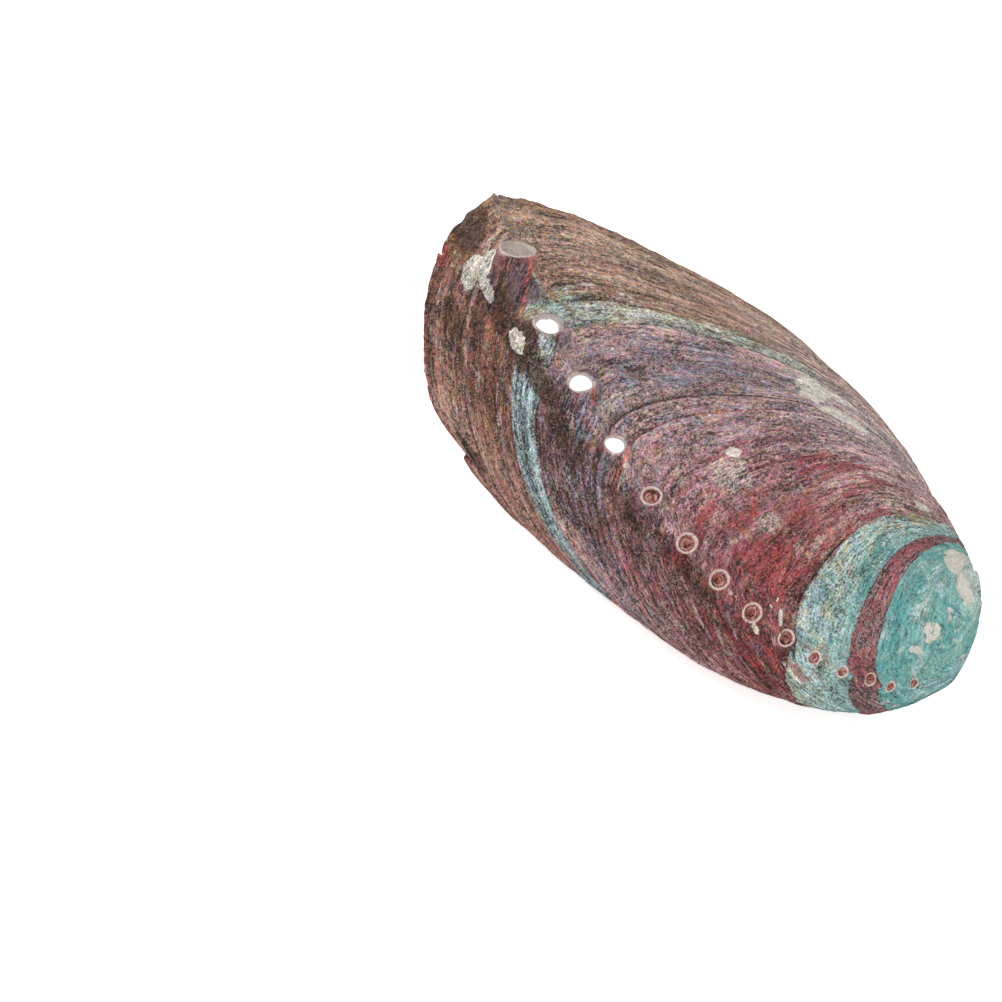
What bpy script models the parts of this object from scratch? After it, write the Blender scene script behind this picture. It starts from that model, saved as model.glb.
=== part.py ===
# An abalone shell: one grown piece, an ear-shaped dome with a flat rim, a wide hollow,
# a raised row of breathing holes along the left shoulder and a low spire at the back.
# Metres, +Z up, +Y towards the growing front edge, the row of holes on the -X side.

import math

import bmesh
import bpy
import numpy as np
from mathutils import Matrix, Vector

MM = 0.001

# Rim outline
HALF_WIDTH = 51.9 * MM
HALF_LENGTH = 70.0 * MM
WIDEST_SHIFT = -0.077
FRONT_LEAN = 0.003
THREE_LOBE_COS = 1.2 * MM
THREE_LOBE_SIN = -1.7 * MM
FRONT_BACK_SKEW = 0.64 * MM

# Growth of the rim towards the spire
APEX = np.array([3.7, -61.9, 31.3]) * MM
AXIS_TILT = 0.434
AXIS_HEADING = -1.300
SHRINK_RATE = 0.832
SHRINK_EASE = -0.066
EASE_END = 2.1
TIP_RATE = 0.80
TIP_AGE = 3.6
WORN_TOP = 29.0 * MM
WEAR_SOFTNESS = 1.0 * MM

# Shoulder that carries the holes
ROW_ANGLE = 1.489
SHOULDER_RISE = 4.2 * MM
SHOULDER_WIDTH = 0.11
FIRST_HOLE_AGE = 0.148
HOLE_AGE_STEP = 0.1545
OPEN_HOLES = 4
SEALED_HOLES = 10
HOLE_LONG = 3.0 * MM
HOLE_WIDE = 2.35 * MM
COLLAR_RISE = 0.9 * MM
FRONT_TUBE_RISE = 2.6 * MM
PIT_RADIUS = 2.3 * MM
PIT_DEPTH = 1.3 * MM
NOTCH_RADIUS = 2.3 * MM

# Wall
RIM_WIDTH = 1.9 * MM
SHELF_WIDTH = 5.5 * MM
SHELF_ANGLE = math.radians(240.0)
WALL = 2.3 * MM
MOST_REACH = 8.0 * MM
LEDGE_RISE = 0.45 * MM
LUMP_RISE = 0.35 * MM

# Facets
AROUND = 72
FACET_CROWDING = 0.5
FACET_TWIST = 1.0
LEDGE_AGES = (0.055, 0.125, 0.22, 0.33, 0.46, 0.62, 0.82, 1.06, 1.36, 1.70)
PLAIN_AGES = (0.0, 0.09, 0.17, 0.27, 0.39, 0.54, 0.71, 0.94, 1.20, 1.53, 1.88, 2.05, 2.22, 2.42, 2.66,
              2.96, TIP_AGE)
LEDGE_GAP = 0.012
INNER_AGES = (0.0, 0.07, 0.17, 0.30, 0.45, 0.63, 0.84, 1.07, 1.30, 1.52)


def rim(s):
    lift = np.exp(-(np.angle(np.exp(1j * (s - ROW_ANGLE))) / SHOULDER_WIDTH) ** 2)
    x = HALF_WIDTH * np.cos(s) * (1.0 + WIDEST_SHIFT * np.sin(2.0 * s))
    x = x + FRONT_LEAN * HALF_LENGTH * (np.sin(s) ** 2 - 0.5)
    x = x + THREE_LOBE_COS * np.cos(3.0 * s) + THREE_LOBE_SIN * np.sin(3.0 * s)
    y = HALF_LENGTH * np.sin(s) + FRONT_BACK_SKEW * np.cos(2.0 * s)
    return np.stack([x, y, SHOULDER_RISE * lift], -1)


def shrink(t):
    eased = np.minimum(t, EASE_END)
    g = SHRINK_RATE * eased + SHRINK_EASE * eased ** 2
    return np.exp(-(g + TIP_RATE * np.maximum(t - EASE_END, 0.0)))


def turn(t, arm):
    axis = np.array([math.sin(AXIS_TILT) * math.cos(AXIS_HEADING),
                     math.sin(AXIS_TILT) * math.sin(AXIS_HEADING),
                     math.cos(AXIS_TILT)])
    c = np.cos(t)[..., None]
    k = np.sin(t)[..., None]
    turned = arm * c + np.cross(np.broadcast_to(axis, arm.shape), arm) * k
    return turned + axis * (arm @ axis)[..., None] * (1.0 - c)


def grow(t, points):
    # A rim line of age t is the rim shrunk towards the spire tip and turned about its axis.
    grown = APEX + shrink(t)[..., None] * turn(t, points - APEX)
    # The spire tip is worn down to a blunt top.
    grown[..., 2] = WORN_TOP - WEAR_SOFTNESS * np.log1p(np.exp((WORN_TOP - grown[..., 2]) / WEAR_SOFTNESS))
    return grown


def skin(t, s):
    t, s = np.broadcast_arrays(np.asarray(t, float), np.asarray(s, float))
    return grow(t, rim(s))


def outward(t, s):
    e = 1e-4
    along = skin(t + e, s) - skin(t - e, s)
    around = skin(t, s + e) - skin(t, s - e)
    n = np.cross(around, along)
    return n / np.linalg.norm(n, axis=-1, keepdims=True)


def relief(t, s):
    # Growth ledges step down towards the rim, low lumps lie across them.
    size = shrink(t)
    rise = np.zeros(np.broadcast(t, s).shape)
    for i, age in enumerate(LEDGE_AGES):
        back = np.clip((t - age) / LEDGE_GAP, 0.0, 1.0)
        fade = np.exp(-np.maximum(t - age - LEDGE_GAP, 0.0) / 0.09)
        rise = rise + LEDGE_RISE * back * fade * (0.7 + 0.3 * np.sin(2.0 * s + 1.7 * i))
    lumps = np.sin(9.0 * s + 5.0 * t) * np.sin(21.0 * t + 2.0 * np.sin(2.0 * s))
    rise = rise + LUMP_RISE * lumps * size ** 0.5
    return rise * np.clip(t / 0.05, 0.0, 1.0) * np.clip(size * 4.0, 0.0, 1.0)


def lining(t, s):
    # Each inner line lies inside the rim line of the same age, further in where the skin is flatter.
    e = 1e-4
    along = rim(s + e) - rim(s - e)
    inward = np.stack([-along[:, 1], along[:, 0], np.zeros(len(s))], -1)
    inward = inward / np.linalg.norm(inward, axis=1, keepdims=True)
    ring_up = turn(t, np.array([0.0, 0.0, 1.0]) + np.zeros((len(s), 3)))
    steep = np.linalg.norm(np.cross(outward(t, s), ring_up), axis=1)
    reach = np.minimum(WALL / np.maximum(steep, 0.05), MOST_REACH)
    shelf = (0.5 * (1.0 + np.cos(s - SHELF_ANGLE))) ** 4
    at_rim = RIM_WIDTH + (SHELF_WIDTH - RIM_WIDTH) * shelf
    reach = at_rim + (reach - at_rim) * np.clip(t / 0.18, 0.0, 1.0)
    points = rim(s)
    points[:, 2] *= 0.7 - 0.5 * np.clip(t / 0.07, 0.0, 1.0)
    return grow(t, points + inward * (reach * shrink(t) ** -0.6)[:, None])


def facet_angles(t):
    # Facets crowd on the shoulder and twist with age, so that columns run square to the rim lines.
    v = np.linspace(0.0, 2.0 * math.pi, AROUND, endpoint=False) - FACET_TWIST * t
    return v - FACET_CROWDING * np.sin(v - ROW_ANGLE)


def build_shell():
    outer_ages = sorted(PLAIN_AGES + LEDGE_AGES + tuple(a + LEDGE_GAP for a in LEDGE_AGES))
    verts = []
    rings = []
    for t in outer_ages:
        s = facet_angles(t)
        age = np.full(s.shape, t)
        ring = skin(age, s) + outward(age, s) * relief(age, s)[:, None]
        ring[:, 2] = np.maximum(ring[:, 2], 0.0)
        rings.append(range(len(verts), len(verts) + AROUND))
        verts += ring.tolist()
    outer_tip = len(verts)
    verts.append(np.array(verts[rings[-1][0]:rings[-1][-1] + 1]).mean(axis=0).tolist())
    faces = []
    for a, b in zip(rings[:-1], rings[1:]):
        for i in range(AROUND):
            j = (i + 1) % AROUND
            faces.append((a[i], a[j], b[j], b[i]))
    for i in range(AROUND):
        faces.append((rings[-1][i], rings[-1][(i + 1) % AROUND], outer_tip))

    inner = []
    for t in INNER_AGES:
        s = facet_angles(t)
        ring = lining(np.full(s.shape, t), s)
        inner.append(range(len(verts), len(verts) + AROUND))
        verts += ring.tolist()
    inner_tip = len(verts)
    verts.append(np.array(verts[inner[-1][0]:inner[-1][-1] + 1]).mean(axis=0).tolist())
    for i in range(AROUND):
        j = (i + 1) % AROUND
        faces.append((rings[0][j], rings[0][i], inner[0][i], inner[0][j]))
    for a, b in zip(inner[:-1], inner[1:]):
        for i in range(AROUND):
            j = (i + 1) % AROUND
            faces.append((a[j], a[i], b[i], b[j]))
    for i in range(AROUND):
        faces.append((inner[-1][(i + 1) % AROUND], inner[-1][i], inner_tip))

    mesh = bpy.data.meshes.new("abalone_shell")
    mesh.from_pydata(verts, [], faces)
    bm = bmesh.new()
    bm.from_mesh(mesh)
    bmesh.ops.triangulate(bm, faces=bm.faces[:], quad_method="SHORT_EDGE")
    bmesh.ops.recalc_face_normals(bm, faces=bm.faces[:])
    bm.to_mesh(mesh)
    bm.free()
    return bpy.data.objects.new("abalone_shell", mesh)


def seat(t, s, lean=0.0):
    # A frame on the skin: local Z outwards, local X towards the front rim.
    here = skin(t, s)
    ahead = skin(t - 1e-3, s) - here
    up = Vector(outward(t, s))
    front = Vector(ahead).normalized()
    up = (up + front * lean).normalized()
    side = up.cross(front).normalized()
    front = side.cross(up).normalized()
    frame = Matrix((front, side, up)).transposed().to_4x4()
    frame.translation = Vector(here)
    return frame


def add_frustum(name, frame, low, high, r_low, r_high, stretch, sides):
    bm = bmesh.new()
    bmesh.ops.create_cone(bm, cap_ends=True, segments=sides, radius1=r_low, radius2=r_high, depth=high - low)
    shift = Matrix.Translation((0.0, 0.0, 0.5 * (low + high)))
    bmesh.ops.transform(bm, matrix=frame @ Matrix.Diagonal((stretch, 1.0, 1.0, 1.0)) @ shift, verts=bm.verts[:])
    mesh = bpy.data.meshes.new(name)
    bm.to_mesh(mesh)
    bm.free()
    return bpy.data.objects.new(name, mesh)


def apply_boolean(body, tool, operation):
    mod = body.modifiers.new(tool.name, "BOOLEAN")
    mod.operation = operation
    mod.solver = "EXACT"
    mod.object = tool
    bpy.context.view_layer.update()
    graph = bpy.context.evaluated_depsgraph_get()
    done = bpy.data.meshes.new_from_object(body.evaluated_get(graph))
    body.modifiers.clear()
    body.data = done


for old in list(bpy.data.objects):
    bpy.data.objects.remove(old, do_unlink=True)

shell_group = bpy.data.collections.new("abalone_shell")
cutter_group = bpy.data.collections.new("cutters")
bpy.context.scene.collection.children.link(shell_group)
bpy.context.scene.collection.children.link(cutter_group)

shell = build_shell()
shell_group.objects.link(shell)

# Raised collars round the open holes, the front one a short tube that leans forward
for i in range(OPEN_HOLES):
    age = FIRST_HOLE_AGE + HOLE_AGE_STEP * i
    size = float(shrink(age)) ** 0.6
    rise = (FRONT_TUBE_RISE if i == 0 else COLLAR_RISE) * size
    spot = seat(age, ROW_ANGLE, 0.35 if i == 0 else 0.0)
    wide = HOLE_WIDE * size
    collar = add_frustum("collar_%d" % (i + 1), spot, -1.6 * MM, rise, wide * 2.4, wide * 1.3,
                         HOLE_LONG / HOLE_WIDE, 20)
    cutter_group.objects.link(collar)
    apply_boolean(shell, collar, "UNION")

# Open holes, flared outwards
for i in range(OPEN_HOLES):
    age = FIRST_HOLE_AGE + HOLE_AGE_STEP * i
    size = float(shrink(age)) ** 0.6
    spot = seat(age, ROW_ANGLE, 0.35 if i == 0 else 0.0)
    wide = HOLE_WIDE * size
    bore = add_frustum("bore_%d" % (i + 1), spot, -9.0 * MM, 5.0 * MM, wide * 0.85, wide * 1.15,
                       HOLE_LONG / HOLE_WIDE, 16)
    cutter_group.objects.link(bore)
    apply_boolean(shell, bore, "DIFFERENCE")

# Sealed holes: shallow cups that shrink towards the spire
for i in range(OPEN_HOLES, OPEN_HOLES + SEALED_HOLES):
    age = FIRST_HOLE_AGE + HOLE_AGE_STEP * i
    size = float(shrink(age)) / float(shrink(FIRST_HOLE_AGE + HOLE_AGE_STEP * OPEN_HOLES))
    spot = seat(age, ROW_ANGLE)
    cup = add_frustum("cup_%d" % (i + 1), spot, -PIT_DEPTH * size ** 0.5, 3.0 * MM, PIT_RADIUS * size * 0.7,
                      PIT_RADIUS * size * 1.9, 1.15, 10)
    cutter_group.objects.link(cup)
    apply_boolean(shell, cup, "DIFFERENCE")

# The hole still forming: a scallop in the front rim
front_notch = add_frustum("front_notch", seat(0.0, ROW_ANGLE), -9.0 * MM, 6.0 * MM, NOTCH_RADIUS * 0.9,
                          NOTCH_RADIUS * 1.1, 1.2, 16)
cutter_group.objects.link(front_notch)
apply_boolean(shell, front_notch, "DIFFERENCE")

for cutter in cutter_group.objects:
    cutter.hide_render = True
    cutter.display_type = "WIRE"

# Origin at the middle of the footprint, on the ground
points = np.array([v.co[:] for v in shell.data.vertices])
low = points.min(axis=0)
high = points.max(axis=0)
move = Vector((-0.5 * (low[0] + high[0]), -0.5 * (low[1] + high[1]), -low[2]))
for item in [shell] + list(cutter_group.objects):
    item.data.transform(Matrix.Translation(move))
    item.data.update()

skin_stuff = bpy.data.materials.new("weathered_shell")
skin_stuff.use_nodes = True
surface = skin_stuff.node_tree.nodes["Principled BSDF"]
surface.inputs["Base Color"].default_value = (0.27, 0.12, 0.11, 1.0)
surface.inputs["Roughness"].default_value = 0.62
surface.inputs["Metallic"].default_value = 0.0
shell.data.materials.clear()
shell.data.materials.append(skin_stuff)
for face in shell.data.polygons:
    face.material_index = 0
shell.data.shade_smooth()
shell.data.set_sharp_from_angle(angle=math.radians(35.0))
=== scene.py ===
import math
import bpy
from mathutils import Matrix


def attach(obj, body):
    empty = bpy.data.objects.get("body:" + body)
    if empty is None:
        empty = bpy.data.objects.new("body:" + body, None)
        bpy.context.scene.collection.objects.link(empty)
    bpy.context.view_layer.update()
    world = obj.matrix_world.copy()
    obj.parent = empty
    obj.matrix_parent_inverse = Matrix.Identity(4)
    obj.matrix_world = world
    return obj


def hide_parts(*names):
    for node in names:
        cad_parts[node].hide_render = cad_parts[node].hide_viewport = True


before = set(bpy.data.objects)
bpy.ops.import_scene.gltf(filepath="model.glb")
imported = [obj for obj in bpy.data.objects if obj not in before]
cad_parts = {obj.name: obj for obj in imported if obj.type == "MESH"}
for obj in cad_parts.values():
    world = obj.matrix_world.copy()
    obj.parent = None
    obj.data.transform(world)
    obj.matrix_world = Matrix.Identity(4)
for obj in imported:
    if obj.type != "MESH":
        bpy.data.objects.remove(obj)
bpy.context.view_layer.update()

from types import SimpleNamespace

import bpy
import numpy as np
from mathutils import Matrix, Vector

mm = 0.001

# How the shell grew: a rim line of age t is today's rim, shrunk and turned about an axis through the tip.
# Below, t is an age back in time, s an angle round the rim from its right side, and p a point.
growth = {
    "halfWidth": 51.9 * mm,
    "halfLength": 70.0 * mm,
    "widestShift": -0.077,
    "frontLean": 0.003,
    "threeLobeCos": 1.2 * mm,
    "threeLobeSin": -1.7 * mm,
    "frontBackSkew": 0.64 * mm,
    "apex": np.array([3.7, -61.9, 31.3]) * mm,
    "axisTilt": 0.434,
    "axisHeading": -1.300,
    "shrinkRate": 0.832,
    "shrinkEase": -0.066,
    "easeEnd": 2.1,
    "tipRate": 0.80,
    "tipAge": 3.6,
    "wornTop": 29.0 * mm,
    "wearSoftness": 1.0 * mm,
    "rowAngle": 1.489,
    "shoulderRise": 4.2 * mm,
    "shoulderWidth": 0.11,
    # In mm: skin grown per unit of age at full size, and the radius of a circle about as long as the rim
    "pathPerAge": 150.0,
    "girthRadius": 58.0,
}
# From the growth origin to the middle of the footprint
footprintShift = np.array([0.789, 1.229, 0.0]) * mm

# The row of breathing holes
holes = {
    "firstAge": 0.148,
    "ageStep": 0.1545,
    "open": 4,
    "sealed": 10,
    # Each open hole from the front: (mm along, mm across) half size
    "halfSizes": ((3.0, 3.35), (2.65, 2.7), (2.3, 2.45), (2.0, 1.95)),
    # How far each hole, open or sealed, lies off the row line the same way
    "shifts": (
        (-0.8, -0.1), (-1.3, -0.4), (-0.3, -0.7), (-1.0, 0.0), (-0.5, -0.5), (-0.7, -0.1), (0.0, 0.1),
        (0.0, 0.4), (-0.4, 0.1), (-0.2, 0.3), (-0.5, 0.1), (-1.1, -0.5), (-1.1, 0.1), (-1.9, -0.2),
    ),
    "lipRise": 0.8 * mm,
    "tubeRise": 2.4 * mm,
    "tubeLean": 0.2,
    "pitRadii": (1.75, 1.75, 1.7, 1.65, 1.4, 1.2, 1.0, 1.1, 0.95, 0.95),
    "pitAspect": 1.12,
    "pitDepth": 0.6,
    # The bore from the top down: (mm above the skin, share of the hole's half size)
    "bore": ((4.5, 1.05), (0.8, 1.0), (-0.4, 0.96), (-1.0, 0.94), (-1.6, 1.1), (-4.2, 1.25), (-6.5, 1.3)),
    "frontBore": (
        (4.5, 1.05), (0.8, 1.0), (-0.6, 0.94), (-1.8, 0.92), (-2.6, 1.1), (-4.2, 1.2), (-6.5, 1.25),
    ),
    "boreSides": 64,
    # How far each bore leans to the front and across as it goes down, in mm for each mm
    "boreLeans": ((0.0, 0.0), (0.5, -0.35), (0.45, -0.36), (0.32, -0.32)),
    "notchDip": 0.006,
    # The red line that runs back from the front hole
    "lineOffset": 3.0 * mm,
    "lineSlant": 0.37,
    "lineWidth": 0.45 * mm,
    # How far from a hole its lip, ridge or pit can reach, in length and in age
    "reach": 26.0 * mm,
    "reachAge": 0.3,
}

# Wall and finer surface
wall = {
    "rimWidth": 1.9 * mm,
    "shelfWidth": 5.5 * mm,
    "shelfAngle": math.radians(240.0),
    "shelfEndAge": 0.18,
    "thickness": 2.3 * mm,
    "mostReach": 8.0 * mm,
    "flattest": 0.05,
    "lipAge": 0.07,
    "thickening": -0.6,
    "wearFade": 0.05,
    "innerEndAge": 1.52,
}
surface = {
    "rowSpacing": 0.42 * mm,
    "columns": 640,
    "innerRows": 90,
    "crowding": 0.35,
    "twist": 1.0,
    "triangles": 190000,
    "sinkAll": 0.3 * mm,
    "ledgeRise": 0.42 * mm,
    "ledgeFront": 0.006,
    "ledgeFade": 0.045,
    "stepSpacing": 2.1,
    "stepRise": 0.16 * mm,
    "lumpRise": 0.22 * mm,
    "foldRise": 0.24 * mm,
    "threadRise": 0.08 * mm,
    "grainRise": 0.08 * mm,
    "gutterDepth": 0.8 * mm,
    "gutterAngle": 0.17,
    "gutterWidth": 0.08,
    "lowest": 0.02 * mm,
}
# Growth ledges: (age, strength)
ledges = (
    (0.035, 0.6), (0.078, 0.8), (0.125, 1.0), (0.182, 0.7), (0.238, 0.8), (0.285, 0.9), (0.348, 1.2),
    (0.405, 0.6), (0.465, 0.8), (0.535, 0.6), (0.596, 1.2), (0.664, 1.1), (0.745, 0.6), (0.83, 0.8),
    (0.92, 0.7), (1.03, 0.9), (1.15, 0.7), (1.27, 0.8), (1.44, 1.6), (1.60, 0.7), (1.79, 0.9), (1.985, 0.7),
)


def smooth(edge0, edge1, x):
    f = np.clip((x - edge0) / (edge1 - edge0), 0.0, 1.0)
    return f * f * (3.0 - 2.0 * f)


def softNoise(points, seed):
    # Smooth lattice noise from -1 to 1
    cell = np.floor(points).astype(np.int64)
    f = points - cell
    f = f * f * (3.0 - 2.0 * f)
    total = np.zeros(points.shape[:-1])
    for corner in range(8):
        step = np.array([corner & 1, corner >> 1 & 1, corner >> 2])
        c = cell + step
        h = (c[..., 0] * 73856093) ^ (c[..., 1] * 19349663) ^ (c[..., 2] * 83492791) ^ (seed * 2654435761)
        h = (h ^ (h >> 13)) * 1274126177 & 0xFFFFFFFF
        h = (h ^ (h >> 16)) & 0xFFFF
        weight = np.prod(np.where(step == 1, f, 1.0 - f), axis=-1)
        total += weight * (h / 32767.5 - 1.0)
    return total


def angleFromRow(s):
    return np.angle(np.exp(1j * (s - growth["rowAngle"])))


def rimLine(s):
    g = growth
    lift = g["shoulderRise"] * np.exp(-(angleFromRow(s) / g["shoulderWidth"]) ** 2)
    x = g["halfWidth"] * np.cos(s) * (1.0 + g["widestShift"] * np.sin(2.0 * s))
    x = x + g["frontLean"] * g["halfLength"] * (np.sin(s) ** 2 - 0.5)
    x = x + g["threeLobeCos"] * np.cos(3.0 * s) + g["threeLobeSin"] * np.sin(3.0 * s)
    y = g["halfLength"] * np.sin(s) + g["frontBackSkew"] * np.cos(2.0 * s)
    return np.stack([x, y, lift], -1)


def sizeAt(t):
    g = growth
    eased = np.minimum(t, g["easeEnd"])
    fall = g["shrinkRate"] * eased + g["shrinkEase"] * eased ** 2
    return np.exp(-(fall + g["tipRate"] * np.maximum(t - g["easeEnd"], 0.0)))


def turned(t, arm):
    # The arm turned by the angle t about the growth axis
    tilt, heading = growth["axisTilt"], growth["axisHeading"]
    lean = math.sin(tilt)
    axis = np.array([lean * math.cos(heading), lean * math.sin(heading), math.cos(tilt)])
    c = np.cos(t)[..., None]
    k = np.sin(t)[..., None]
    acrossAxis = np.cross(np.broadcast_to(axis, arm.shape), arm)
    alongAxis = axis * (arm @ axis)[..., None]
    return arm * c + acrossAxis * k + alongAxis * (1.0 - c)


def grown(t, points):
    # Points of today's rim plane as they lay at age t, with the top of the shell worn down
    g = growth
    out = g["apex"] + sizeAt(t)[..., None] * turned(t, points - g["apex"])
    below = (g["wornTop"] - out[..., 2]) / g["wearSoftness"]
    out[..., 2] = g["wornTop"] - g["wearSoftness"] * np.log1p(np.exp(below))
    return out + footprintShift


def skinAt(t, s):
    t, s = np.broadcast_arrays(np.asarray(t, float), np.asarray(s, float))
    return grown(t, rimLine(s))


def outwardAt(t, s):
    step = 1e-4
    along = skinAt(t + step, s) - skinAt(t - step, s)
    around = skinAt(t, s + step) - skinAt(t, s - step)
    normal = np.cross(around, along)
    return normal / np.linalg.norm(normal, axis=-1, keepdims=True)


def liningAt(t, s):
    # Each inner line lies inside the rim line of the same age, further in where the skin is flatter
    step = 1e-4
    along = rimLine(s + step) - rimLine(s - step)
    inward = np.stack([-along[:, 1], along[:, 0], np.zeros(len(s))], -1)
    inward = inward / np.linalg.norm(inward, axis=1, keepdims=True)
    ringUp = turned(t, np.array([0.0, 0.0, 1.0]) + np.zeros((len(s), 3)))
    steep = np.linalg.norm(np.cross(outwardAt(t, s), ringUp), axis=1)
    reach = np.minimum(wall["thickness"] / np.maximum(steep, wall["flattest"]), wall["mostReach"])
    shelf = (0.5 * (1.0 + np.cos(s - wall["shelfAngle"]))) ** 4
    atRim = wall["rimWidth"] + (wall["shelfWidth"] - wall["rimWidth"]) * shelf
    reach = atRim + (reach - atRim) * np.clip(t / wall["shelfEndAge"], 0.0, 1.0)
    points = rimLine(s)
    points[:, 2] *= 0.7 - 0.5 * np.clip(t / wall["lipAge"], 0.0, 1.0)
    return grown(t, points + inward * (reach * sizeAt(t) ** wall["thickening"])[:, None])


# Length grown along the skin, in mm, from the rim back to an age
ageTable = np.linspace(0.0, growth["tipAge"], 2000)
sizeTable = sizeAt(ageTable)
growthSteps = 0.5 * (sizeTable[1:] + sizeTable[:-1]) * np.diff(ageTable)
pathTable = np.concatenate([[0.0], np.cumsum(growthSteps)]) * growth["pathPerAge"]


def pathAt(t):
    return np.interp(t, ageTable, pathTable)


def growthSpace(t, s):
    # A point of the skin as (mm grown, mm around the rim as a circle)
    around = growth["girthRadius"] * sizeAt(t) ** 0.5
    return np.stack([pathAt(t), around * np.cos(s), around * np.sin(s)], -1)


def ledgeRelief(t, size, space):
    # Each ledge rises at its age and fades towards the older shell, with a painted highlight on its crest and
    # painted shade at its foot
    rise = np.zeros(t.shape)
    paintedShading = np.zeros(t.shape)
    front, fadeAge = surface["ledgeFront"], surface["ledgeFade"]
    wobble = 0.012 * softNoise(space * (0.02, 0.05, 0.05), 3)
    wobble = wobble + 0.005 * softNoise(space * (0.05, 0.22, 0.22), 4)
    for i, (age, strength) in enumerate(ledges):
        offset = t - age - wobble * min(1.0, age * 6.0)
        back = np.clip(offset / front, 0.0, 1.0)
        fade = np.exp(-np.maximum(offset - front, 0.0) / fadeAge)
        along = np.clip(0.75 + 0.9 * softNoise(space * (0.0, 0.045, 0.045) + 7.3 * i, 5), 0.0, 1.4)
        rise += surface["ledgeRise"] * strength * along * back * fade
        width = 0.006 + 0.004 * size
        paintedCrestLight = 0.6 * np.exp(-((offset - width) / width) ** 2)
        paintedFootShade = np.exp(-((offset + 0.4 * width) / (0.8 * width)) ** 2)
        paintedShading += strength * along * (paintedCrestLight - paintedFootShade)
    return rise, paintedShading


def stepRelief(size, space):
    # Fine steps, one behind the other, that follow the rim lines unevenly, with painted highlight and painted
    # shade at their edges
    phase = space[..., 0] / surface["stepSpacing"] + 1.6 * softNoise(space * (0.06, 0.05, 0.05), 8)
    saw = 1.0 - np.mod(phase, 1.0)
    strength = np.clip(0.5 + 1.1 * softNoise(space * (0.12, 0.08, 0.08), 9), 0.0, 1.5) * size ** 0.4
    paintedEdgeShading = np.exp(-((1.0 - saw) / 0.16) ** 2) - np.exp(-(saw / 0.16) ** 2)
    return surface["stepRise"] * strength * saw, 0.55 * strength * paintedEdgeShading


def relief(t, s, p):
    # Height of the finer surface above the grown skin, and its painted shading, which lightens or darkens the
    # crust
    size = sizeAt(t)
    space = growthSpace(t, s)
    ledgeRise, ledgePaintedShading = ledgeRelief(t, size, space)
    stepRise, stepPaintedShading = stepRelief(size, space)
    threads = softNoise(space * (1.15, 0.10, 0.10), 11) + 0.6 * softNoise(space * (2.3, 0.22, 0.22), 12)
    folds = softNoise(space * (0.16, 0.035, 0.035), 21) + 0.5 * softNoise(space * (0.42, 0.07, 0.07), 22)
    rise = ledgeRise + stepRise - surface["sinkAll"]
    rise += surface["threadRise"] * threads + surface["foldRise"] * folds
    rise += surface["lumpRise"] * softNoise(p / mm * 0.13, 31)
    rise += surface["grainRise"] * softNoise(p / mm * 0.9, 32)
    # The hollow that runs behind the row of holes, with painted shade in it
    gutterHollowAndShade = np.exp(-((angleFromRow(s) - surface["gutterAngle"]) / surface["gutterWidth"]) ** 2)
    gutterHollowAndShade = smooth(0.08, 0.2, t) * size ** 0.7 * gutterHollowAndShade
    rise -= surface["gutterDepth"] * gutterHollowAndShade
    rise *= np.clip(t / 0.03, 0.15, 1.0) * np.clip(size * 5.0, 0.0, 1.0)
    return rise, ledgePaintedShading + stepPaintedShading - 0.5 * gutterHollowAndShade


def seatAt(t, s, lean=0.0):
    # A frame on the skin: local Z outwards, local X towards the front rim
    here = skinAt(t, s)
    front = Vector(skinAt(t - 1e-3, s) - here).normalized()
    up = (Vector(outwardAt(t, s)) + front * lean).normalized()
    side = up.cross(front).normalized()
    front = side.cross(up).normalized()
    seat = Matrix((front, side, up)).transposed().to_4x4()
    seat.translation = Vector(here)
    return seat


def localOf(seat, p):
    toSeat = np.array(seat.inverted())
    return p @ toSeat[:3, :3].T + toSeat[:3, 3]


def holeFrame(i):
    # Where hole i sits and its half sizes along and across, in metres
    age = holes["firstAge"] + holes["ageStep"] * i
    seat = seatAt(age, growth["rowAngle"], holes["tubeLean"] if i == 0 else 0.0)
    if i < holes["open"]:
        along, across = holes["halfSizes"][i]
    else:
        along = holes["pitRadii"][i - holes["open"]]
        across = along * holes["pitAspect"]
    u, w = holes["shifts"][i]
    seat = seat @ Matrix.Translation((u * mm, w * mm, 0.0))
    return age, seat, along * mm, across * mm


# The next functions shape the skin near one hole: u runs to the front, w across and h up from its seat,
# a and b are its half sizes along and across, and d is 1 on its edge
def frontTube(u, w, h, d, a, b):
    # The front hole opens at the end of a ridge with a steep left flank and a level mouth
    along = np.where(u < 0.0, np.maximum(-u - 0.8 * a, 0.0) / (3.6 * a), np.maximum(u, 0.0) / (1.6 * a))
    across = np.where(w > 0.0, w / (1.5 * b), w / (1.7 * b))
    rise = holes["tubeRise"] * (1.0 - smooth(0.66, 1.06, np.sqrt(along ** 2 + across ** 2)))
    level = 1.0 - smooth(1.15, 1.6, d)
    return rise * (1.0 - level) + (holes["tubeRise"] - h) * level


def openLip(u, h, d, a):
    level = 1.0 - smooth(1.2, 2.3, d)
    return (holes["lipRise"] * (1.0 - 0.15 * u / a) - h) * level


def sealedPit(u, w, h, d, a, b):
    # A sunk floor with a low plug of shell off its centre, inside a raised ring on a level pad
    sink = 1.0 - smooth(0.45, 1.0, d)
    ring = np.exp(-((d - 1.15) / 0.22) ** 2)
    pad = 1.0 - smooth(1.2, 2.0, d)
    plug = np.exp(-(np.hypot(u - 0.15 * a, w + 0.25 * b) / (0.4 * b)) ** 2)
    return b * (0.16 * ring - holes["pitDepth"] * (sink - 0.3 * plug)) - 0.7 * h * pad


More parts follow.
